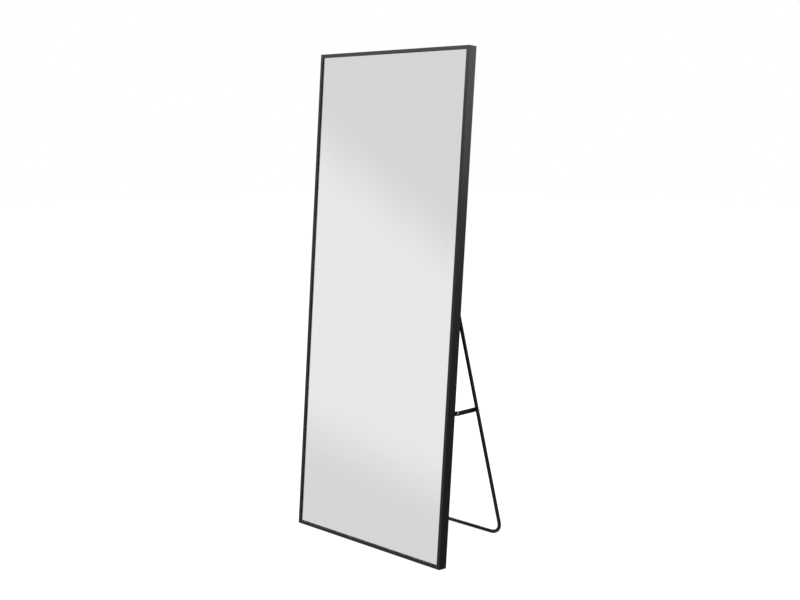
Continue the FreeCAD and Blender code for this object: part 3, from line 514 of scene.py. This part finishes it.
# Pan head screws with a cross recess, in millimetres. The machine screws have a finer thread.
machineScrew = dict(head=3.75, height=2.4, shank=2.0, pitch=0.7, cross=2.1)
screwKinds = dict(
    boardScrews=dict(nodes=["back_board_screws"], head=3.5, height=2.2, shank=1.75, pitch=1.2, cross=1.9),
    bracketScrews=dict(nodes=["hinge_bracket_screws", "stay_bracket_screws"], **machineScrew),
    hangerScrews=dict(nodes=["hanger_screws"], **machineScrew),
)
screwLook = dict(
    turns=24,
    crown=0.45,         # share of the head's height that is rounded
    crownTop=0.97,      # where the rounding starts, as a share of that height
    crownSteps=7,
    crownPull=0.06,     # how much each step draws in towards the middle
    rim=0.12,
    neck=0.4,           # plain shank under the head
    tip=1.2,            # plain end of the shank
    tipEnd=0.2,         # length of the point
    tipWidth=0.6,       # share of the shank where the point starts
    threadDepth=0.13,   # share of the shank
    crossWidth=0.42,    # half the width of an arm
    crossDepth=0.55,    # share of the head's height
    crossFoot=0.45,     # size of the recess at its foot
    crossMouth=1.1,     # and above the head
    crossAbove=0.3,     # how far the cutter reaches above the head
    crossTaper=0.4,     # how much of that change of size an arm's width follows
    merge=0.01 * mm,    # points this close after the cut are one point
    sharp=40,           # edges that look sharp, in degrees
    seed=7,             # of the turns
)


def lathed(profile, turns):  # a closed turned shape about Y from (radius, along) pairs
    mesh = bmesh.new()
    rings = []
    for radius, along in profile:
        if radius == 0:
            rings.append([mesh.verts.new((0, along, 0))])
        else:
            ring = []
            for i in range(turns):
                angle = 2 * math.pi * i / turns
                ring.append(mesh.verts.new((radius * math.cos(angle), along, radius * math.sin(angle))))
            rings.append(ring)
    for lower, upper in zip(rings, rings[1:]):
        for i in range(turns):
            j = (i + 1) % turns
            corners = [ring[k % len(ring)] for ring, k in ((lower, i), (lower, j), (upper, j), (upper, i))]
            mesh.faces.new(list(dict.fromkeys(corners)))  # a triangle where a ring is one point
    bmesh.ops.recalc_face_normals(mesh, faces=mesh.faces)
    return mesh


def crossCutter(kind):  # a tapered plus sign, closed, that reaches above the head
    look = screwLook
    mesh = bmesh.new()
    foot = kind["height"] - kind["height"] * look["crossDepth"]
    mouth = kind["height"] + look["crossAbove"]
    levels = []
    for along, scale in ((foot, look["crossFoot"]), (mouth, look["crossMouth"])):
        reach = kind["cross"] * scale
        half = look["crossWidth"] * (1 - look["crossTaper"] + look["crossTaper"] * scale)
        arm = [Vector((reach, along, -half)), Vector((reach, along, half)), Vector((half, along, half))]
        turns = [Matrix.Rotation(-math.pi / 2 * i, 3, "Y") for i in range(4)]
        levels.append([mesh.verts.new(turn @ corner) for turn in turns for corner in arm])
    count = len(levels[0])
    for i in range(count):
        j = (i + 1) % count
        mesh.faces.new((levels[0][i], levels[0][j], levels[1][j], levels[1][i]))
    for level in levels:
        mesh.faces.new(level)
    bmesh.ops.recalc_face_normals(mesh, faces=mesh.faces)
    return mesh


def loose(name, mesh):  # an object of its own from a shape in millimetres
    data = bpy.data.meshes.new(name)
    mesh.to_mesh(data)
    mesh.free()
    data.transform(Matrix.Scale(mm, 4))
    thing = bpy.data.objects.new(name, data)
    scene.collection.objects.link(thing)
    return thing


def screwTemplate(name, kind, length):  # one screw about Y with the head's seat at 0
    look = screwLook
    head, height, shank = kind["head"], kind["height"], kind["shank"]
    rounded = height * look["crown"]
    steps = look["crownSteps"]
    profile = [(0, height)]
    for i in range(1, steps + 1):  # over the crown and down its side
        turn = math.pi / 2 * i / steps
        radius = head - rounded * (1 - math.sin(turn)) - (steps - i) * look["crownPull"] * head
        profile.append((radius, height * look["crownTop"] - rounded * (1 - math.cos(turn))))
    profile += [(head, look["rim"]), (head - look["rim"], 0), (shank, 0)]
    along = -look["neck"]
    while along > look["tip"] - length:
        root = shank - look["threadDepth"] * shank
        profile += [(shank, along), (root, along - kind["pitch"] / 2)]
        along -= kind["pitch"]
    profile += [(shank * look["tipWidth"], look["tipEnd"] - length), (0, -length)]
    screw = loose(name, lathed(profile, look["turns"]))
    cutter = loose(name + "Cross", crossCutter(kind))
    cut = screw.modifiers.new("cross", "BOOLEAN")
    cut.operation = "DIFFERENCE"
    cut.object = cutter
    mesh = finalMesh(screw)
    merged = bmesh.new()
    merged.from_mesh(mesh)
    bmesh.ops.remove_doubles(merged, verts=merged.verts, dist=look["merge"])
    bmesh.ops.dissolve_degenerate(merged, edges=merged.edges, dist=look["merge"] / 2)
    merged.to_mesh(mesh)
    merged.free()
    screw.modifiers.remove(cut)
    screw.data = mesh
    bpy.data.objects.remove(cutter)
    return screw


def solidsOf(name):  # the box of each separate solid in a node, along the mirror's axes
    mesh = bmesh.new()
    mesh.from_mesh(frame["nodes"][name].data)
    bmesh.ops.remove_doubles(mesh, verts=mesh.verts, dist=weld)
    toMirror = toRow.inverted()
    left = set(mesh.verts)
    boxes = []
    while left:
        queue = [left.pop()]
        members = []
        while queue:
            vert = queue.pop()
            members.append(toMirror @ vert.co)
            for edge in vert.link_edges:
                other = edge.other_vert(vert)
                if other in left:
                    left.remove(other)
                    queue.append(other)
        low = Vector([min(p[i] for p in members) for i in range(3)])
        high = Vector([max(p[i] for p in members) for i in range(3)])
        boxes.append((low, high))
    mesh.free()
    return sorted(boxes, key=lambda box: (round(box[0].x, 4), round(box[0].z, 4)))


def makeScrews(name, kind):  # one screw at every solid of its nodes, each turned at random
    boxes = [box for node in kind["nodes"] for box in solidsOf(node)]
    length = (boxes[0][1].y - boxes[0][0].y) / mm - kind["height"]
    template = screwTemplate(name + "Template", kind, length)
    spots = bpy.data.meshes.new(name + "Spots")
    seats = []
    for low, high in boxes:
        seats.append(((low.x + high.x) / 2, high.y - kind["height"] * mm, (low.z + high.z) / 2))
    spots.from_pydata(seats, [], [])
    s = Shape(name, Screw=("Object", template), Seed=("Int", screwLook["seed"]))
    turn = s.add("FunctionNodeRandomValue", {"data_type": "FLOAT_VECTOR"},
                 {0: (0, 0, 0), 1: (0, 2 * math.pi, 0), "Seed": s.given("Seed")})
    piece = s.add("GeometryNodeObjectInfo", {}, {"Object": s.given("Screw")}, output="Geometry")
    placed = s.add("GeometryNodeInstanceOnPoints", {}, {"Points": s.given("Geometry"), "Instance": piece,
                                                        "Rotation": turn})
    s.out(placed, finishes["screw"])
    thing = s.grow(name, spots)
    thing.data.transform(toRow)
    thing.data.shade_smooth()
    thing.data.set_sharp_from_angle(angle=math.radians(screwLook["sharp"]))
    bpy.data.objects.remove(template)
    fit(thing, "mirror", "screw_steel", *kind["nodes"])


def makeCoating():  # a thin plate inside the pane
    low, high = leaningBox("mirror_glass")
    mesh = bmesh.new()
    bmesh.ops.create_cube(mesh, size=1)
    data = bpy.data.meshes.new("silverCoating")
    mesh.to_mesh(data)
    mesh.free()
    margin = 2 * pane["edge"]
    size = (high.x - low.x - margin, pane["coating"], high.z - low.z - margin)
    middle = Vector((0, low.y + pane["depth"] + pane["coating"] / 2, (low.z + high.z) / 2)) - mirrorStart
    data.transform(toRow @ Matrix.Translation(middle) @ Matrix.Diagonal((*size, 1)))
    data.materials.append(finishes["silver"])
    thing = bpy.data.objects.new("silverCoating", data)
    scene.collection.objects.link(thing)
    fit(thing, "mirror", "mirror_glass")


makeLeg()
makeCoating()
for name, kind in screwKinds.items():
    makeScrews(name, kind)
print("leg tube and screws made")


# Every other solid from the frame keeps its shape and gets its fine edge rounding.
edgeRounding = dict(
    plain=0.25 * mm,
    rail=0.1 * mm,
    glass=0.3 * mm,
    rubber=0.3 * mm,
    segments=2,
    flat=0.5,       # faces this level with each other become one, in degrees
    angle=28,       # edges that are rounded
    sharp=50,       # edges that still look sharp after that
)


def splitByAngle():  # keeps an edge sharp where its faces meet at more than the angle
    s = Shape("splitByAngle", Angle=("Float", math.radians(edgeRounding["sharp"])))
    turn = s.add("GeometryNodeInputMeshEdgeAngle")
    sharp = turn.maths("GREATER_THAN", s.given("Angle"))
    shape = s.add("GeometryNodeSetShadeSmooth", {"domain": "EDGE"},
                  {"Geometry": s.given("Geometry"), "Selection": sharp, "Shade Smooth": False})
    s.add("NodeGroupOutput", {}, {0: shape})
    return s.group


def roundEdges():
    widths = dict(frame="rail", glass="glass", rubber="rubber")
    made = {"leg_tube"} | {node for kind in screwKinds.values() for node in kind["nodes"]}
    split = splitByAngle()
    for name, node in frame["nodes"].items():
        if name in made:
            continue
        node.data.shade_smooth()
        merge = node.modifiers.new("weld", "WELD")
        merge.merge_threshold = weld
        flat = node.modifiers.new("flat", "DECIMATE")
        flat.decimate_type = "DISSOLVE"
        flat.angle_limit = math.radians(edgeRounding["flat"])
        bevel = node.modifiers.new("edges", "BEVEL")
        bevel.width = edgeRounding[widths.get(finishOfSlot[slotOfNode[name]], "plain")]
        bevel.segments = edgeRounding["segments"]
        bevel.limit_method = "ANGLE"
        bevel.angle_limit = math.radians(edgeRounding["angle"])
        sharp = node.modifiers.new("sharp", "NODES")
        sharp.node_group = split
        shade = node.modifiers.new("shade", "WEIGHTED_NORMAL")
        shade.keep_sharp = True


roundEdges()
print("edges rounded")


# Studio: a pale floor, a white background, a wide pale sweep in front with its ground, which
# only the reflections show, and four soft lights.
studio = dict(
    floorSize=40.0,
    floorGlow=0.99,
    floorTone=0.12,
    ambient=0.2,
    sweepRadius=5.6,
    sweepSteps=64,
    sweepLow=-1.5,
    sweepHigh=4.6,
    sweepGlow=0.94,
    bandGlow=1.13,
    bandTop=(1.59, 0.67, 0.38),     # height, rise to the left and softness of its upper edge
    bandFoot=(-0.5, 0.35, 0.34),    # and of its lower edge
    bandMiddle=45,                  # degrees to the left where the heights are measured
)

lamps = dict(                       # place, aim, size and power
    sideLight=((3.7, 3.7, 2.85), (0.35, 0, 1.2), 3.2, 185),
    frontLight=((-2.6, -3.0, 4.2), (0, 0, 1.4), 2.0, 300),
    topLight=((-0.5, -1.5, 4.2), (0, 0, 1.0), 2.5, 80),
    backLight=((-2.4, 3.4, 2.6), (0, 0, 0.9), 2.6, 170),
)


def stageObject(name, mesh, material):
    thing = bpy.data.objects.new(name, mesh)
    thing.data.materials.append(material)
    scene.collection.objects.link(thing)
    return thing


def floorMaterial():
    f = Finish("paleFloor")
    glow = f.add("ShaderNodeEmission", {}, {"Color": grey(1.0), "Strength": studio["floorGlow"]})
    matt = f.add("ShaderNodeBsdfDiffuse", {}, {"Color": grey(studio["floorTone"])})
    both = f.add("ShaderNodeAddShader", {}, {0: glow, 1: matt})
    f.add("ShaderNodeOutputMaterial", {}, {0: both})
    return f.material


def addFloor():
    mesh = bpy.data.meshes.new("paleFloor")
    half = studio["floorSize"] / 2
    corners = [(-half, -half, 0), (half, -half, 0), (half, half, 0), (-half, half, 0)]
    mesh.from_pydata(corners, [], [(0, 1, 2, 3)])
    floor = stageObject("paleFloor", mesh, floorMaterial())
    floor.visible_glossy = False


def sweepMaterial():
    f = Finish("paleSweep")
    split = f.add("ShaderNodeSeparateXYZ", {}, {0: f.place}).socket.node.outputs
    x, y, z = [Signal(f, split[i]) for i in range(3)]
    # along the sweep to the left, seen from the mirror, and up
    angle = f.add("ShaderNodeMath", {"operation": "ARCTAN2"}, {0: x * -1, 1: y * -1})
    along = (angle - math.radians(studio["bandMiddle"])) * studio["sweepRadius"]
    edges = []
    for height, rise, soft in (studio["bandTop"], studio["bandFoot"]):
        edges.append((z - along * rise).below(height, soft))
    band = edges[0] * (1 - edges[1])
    glow = band.spread(studio["sweepGlow"], studio["bandGlow"])
    light = f.add("ShaderNodeEmission", {}, {"Color": grey(1.0), "Strength": glow})
    f.add("ShaderNodeOutputMaterial", {}, {0: light})
    return f.material


def addSweep():
    mesh = bpy.data.meshes.new("paleSweep")
    steps = studio["sweepSteps"]
    points = []
    for i in range(steps + 1):
        turn = math.pi * i / steps
        x = math.cos(turn) * studio["sweepRadius"]
        y = -math.sin(turn) * studio["sweepRadius"]
        points += [(x, y, studio["sweepLow"]), (x, y, studio["sweepHigh"])]
    faces = [(2 * i, 2 * i + 2, 2 * i + 3, 2 * i + 1) for i in range(steps)]
    faces.append([2 * i for i in range(steps + 1)])  # the pale ground that the glass mirrors from above
    mesh.from_pydata(points, [], faces)
    sweep = stageObject("paleSweep", mesh, sweepMaterial())
    sweep.visible_camera = False
    sweep.visible_shadow = False


def addLight(name, place, aim, size, power):
    data = bpy.data.lights.new(name, "AREA")
    data.shape = "SQUARE"
    data.size = size
    data.energy = power
    lamp = bpy.data.objects.new(name, data)
    scene.collection.objects.link(lamp)
    lamp.location = place
    lamp.rotation_euler = (Vector(aim) - Vector(place)).to_track_quat("-Z", "Y").to_euler()
    lamp.visible_camera = False


def addWorld():  # white to the camera and dim to the object
    world = bpy.data.worlds.new("whiteStudio")
    world.use_nodes = True
    scene.world = world
    w = Nodes(world.node_tree)
    seen = w.add("ShaderNodeLightPath", output="Is Camera Ray")
    strength = seen.spread(studio["ambient"], 1.0)
    sky = w.add("ShaderNodeBackground", {}, {0: grey(1.0), 1: strength})
    w.add("ShaderNodeOutputWorld", {}, {0: sky})


addFloor()
addSweep()
addWorld()
for name, settings in lamps.items():
    addLight(name, *settings)
print("studio lit")
